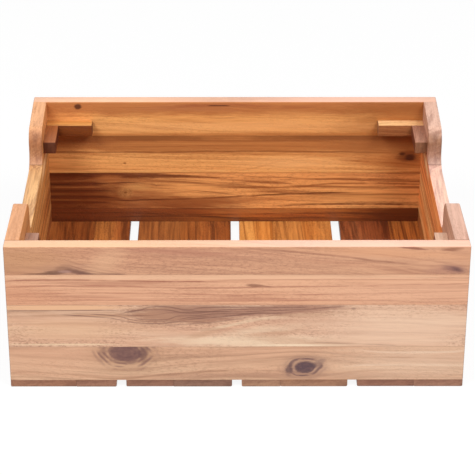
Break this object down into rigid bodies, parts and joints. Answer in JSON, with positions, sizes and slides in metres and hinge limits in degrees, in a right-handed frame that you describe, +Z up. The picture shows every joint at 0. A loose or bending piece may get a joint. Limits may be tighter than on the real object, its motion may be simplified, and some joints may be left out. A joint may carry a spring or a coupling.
{
  "type": "slatted wooden crate",
  "caption": "Rectangular open-topped wooden crate with scooped sides, a slatted floor and inside corner cleats.",
  "frame": {"origin": "middle of the underside of the crate, on the floor it stands on", "axes": "+X to the right along the long sides, +Y from the front board to the rear board, +Z up"},
  "size_m": [0.4, 0.32, 0.14],
  "materials": {
    "front_board": "oiled, satin, pale tan with pinkish heartwood",
    "rear_board": "oiled, satin, warm orange brown",
    "side_board": "oiled, satin, warm orange brown",
    "floor_slat": "oiled, satin, reddish brown",
    "cleat": "oiled, satin, mid brown",
    "dowel": "plain, unfinished hardwood",
    "screw": "zinc plated"
  },
  "bodies": {
    "root": {"front_stave_1": "front_board", "front_stave_2": "front_board", "front_stave_3": "front_board", "front_stave_4": "front_board", "rear_stave_1": "rear_board", "rear_stave_2": "rear_board", "rear_stave_3": "rear_board", "rear_stave_4": "rear_board", "left_stave_1": "side_board", "left_stave_2": "side_board", "left_stave_3": "side_board", "left_front_shoulder": "side_board", "left_rear_shoulder": "side_board", "right_stave_1": "side_board", "right_stave_2": "side_board", "right_stave_3": "side_board", "right_front_shoulder": "side_board", "right_rear_shoulder": "side_board", "slat_1_left_stave": "floor_slat", "slat_1_right_stave": "floor_slat", "slat_2_left_stave": "floor_slat", "slat_2_right_stave": "floor_slat", "slat_3_left_stave": "floor_slat", "slat_3_right_stave": "floor_slat", "slat_4_left_stave": "floor_slat", "slat_4_right_stave": "floor_slat", "front_left_long_cleat": "cleat", "front_right_long_cleat": "cleat", "rear_left_long_cleat": "cleat", "rear_right_long_cleat": "cleat", "front_left_short_cleat": "cleat", "front_right_short_cleat": "cleat", "rear_left_short_cleat": "cleat", "rear_right_short_cleat": "cleat", "front_left_dowels": "dowel", "front_right_dowels": "dowel", "rear_left_dowels": "dowel", "rear_right_dowels": "dowel", "front_floor_screws": "screw", "rear_floor_screws": "screw", "left_floor_screws": "screw", "right_floor_screws": "screw"}
  },
  "joints": []
}
